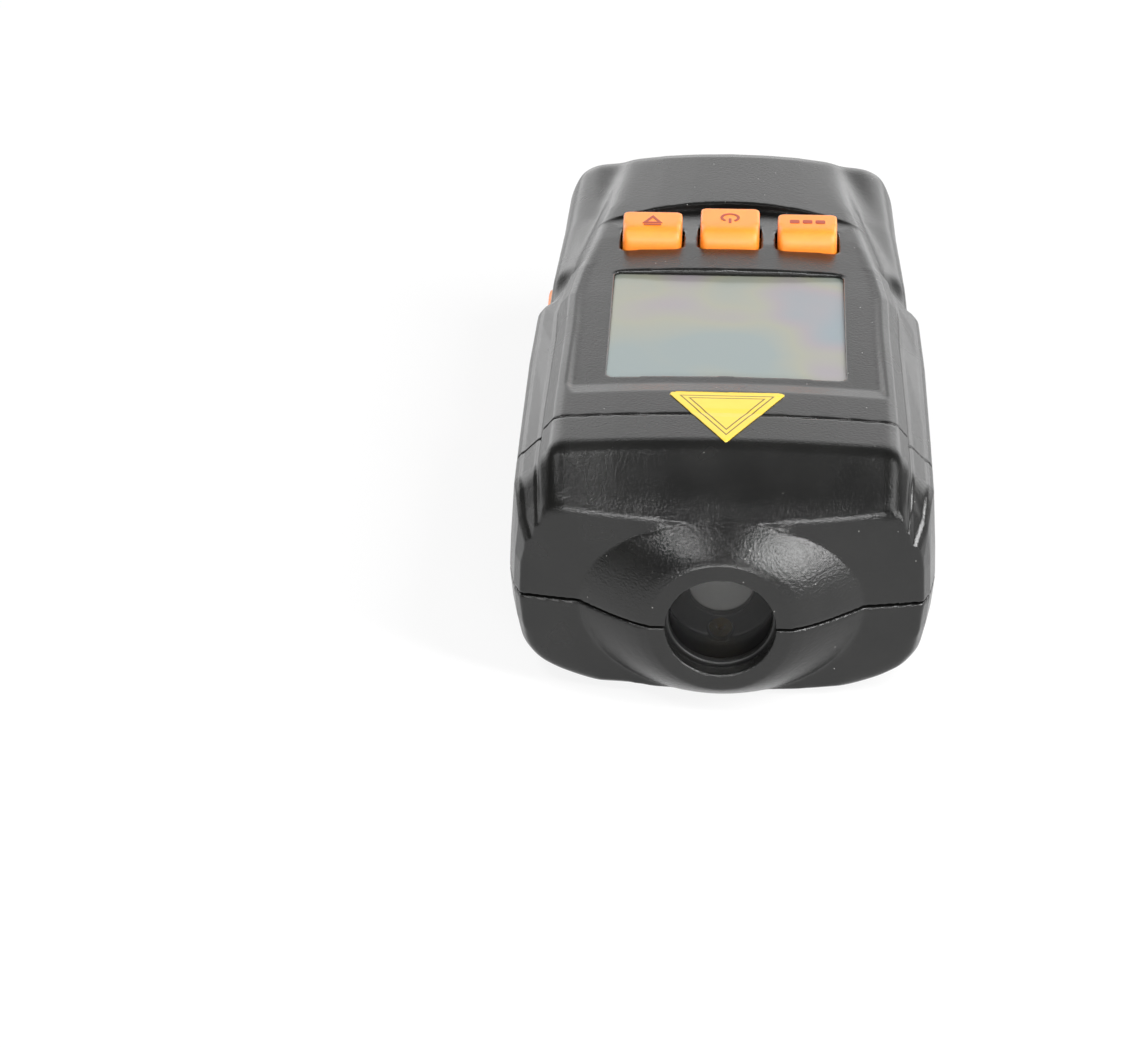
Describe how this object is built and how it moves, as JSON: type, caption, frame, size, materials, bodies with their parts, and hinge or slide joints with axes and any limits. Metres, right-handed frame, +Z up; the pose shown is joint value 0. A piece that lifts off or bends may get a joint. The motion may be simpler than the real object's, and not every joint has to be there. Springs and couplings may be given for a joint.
{
  "type": "laser tachometer",
  "caption": "Handheld optical tachometer: black moulded case with a lens snout, square display, orange keys in a row and a side key, battery door on the back.",
  "frame": {"origin": "centre of the back, on the surface it lies on", "axes": "lens towards -Y, tail towards +Y, display up along +Z, +X to the right when the lens points at the viewer"},
  "size_m": [0.0584, 0.11, 0.0372],
  "materials": {
    "black_shell": "fine-textured black moulded plastic, semi-gloss",
    "orange_key": "smooth orange moulded keys",
    "clear_plate": "clear plate under a protective film",
    "display_glass": "grey display glass, switched off",
    "white_plastic": "white moulded frame",
    "light_guide": "milky light guide",
    "contact_rubber": "striped contact rubber",
    "circuit_board": "green lacquered board",
    "chip_black": "black moulded components",
    "barrel_black": "matt black inner barrel",
    "dark_window": "dark tinted window",
    "lens_glass": "clear lens",
    "laser_brass": "turned brass",
    "cell_sleeve": "plain grey sleeve on steel",
    "spring_steel": "plated spring steel and zinc-plated screws"
  },
  "bodies": {
    "housing": {"top_cover": "black_shell", "nose_cap": "black_shell", "rear_cover": "black_shell", "display_window": "clear_plate", "display_panel": "display_glass", "display_frame": "white_plastic", "backlight_panel": "light_guide", "contact_strips": "contact_rubber", "main_board": "circuit_board", "control_chip": "chip_black", "key_switches": "chip_black", "side_switch": "chip_black", "lens_barrel": "barrel_black", "lens_window": "dark_window", "collecting_lens": "lens_glass", "laser_module": "laser_brass", "sensor_board": "circuit_board", "photo_sensor": "chip_black", "battery_left": "cell_sleeve", "battery_middle": "cell_sleeve", "battery_right": "cell_sleeve", "battery_springs": "spring_steel", "battery_contacts": "spring_steel", "case_screws": "spring_steel", "board_screws": "spring_steel"},
    "light_key": {"light_key": "orange_key"},
    "power_key": {"power_key": "orange_key"},
    "memory_key": {"memory_key": "orange_key"},
    "side_key": {"side_key": "orange_key"},
    "battery_door": {"battery_door": "black_shell"}
  },
  "joints": [
    {"name": "light_key_press", "type": "slide", "parent": "housing", "child": "light_key", "axis": [0, 0, -1], "range_m": [0, 0.0007], "stiffness_N_per_m": 1500},
    {"name": "power_key_press", "type": "slide", "parent": "housing", "child": "power_key", "axis": [0, 0, -1], "range_m": [0, 0.0007], "stiffness_N_per_m": 1500},
    {"name": "memory_key_press", "type": "slide", "parent": "housing", "child": "memory_key", "axis": [0, 0, -1], "range_m": [0, 0.0007], "stiffness_N_per_m": 1500},
    {"name": "side_key_press", "type": "slide", "parent": "housing", "child": "side_key", "axis": [1, 0, 0], "range_m": [0, 0.0007], "stiffness_N_per_m": 1500},
    {"name": "battery_door_slide", "type": "slide", "parent": "housing", "child": "battery_door", "axis": [0, 1, 0], "range_m": [0, 0.064]}
  ]
}
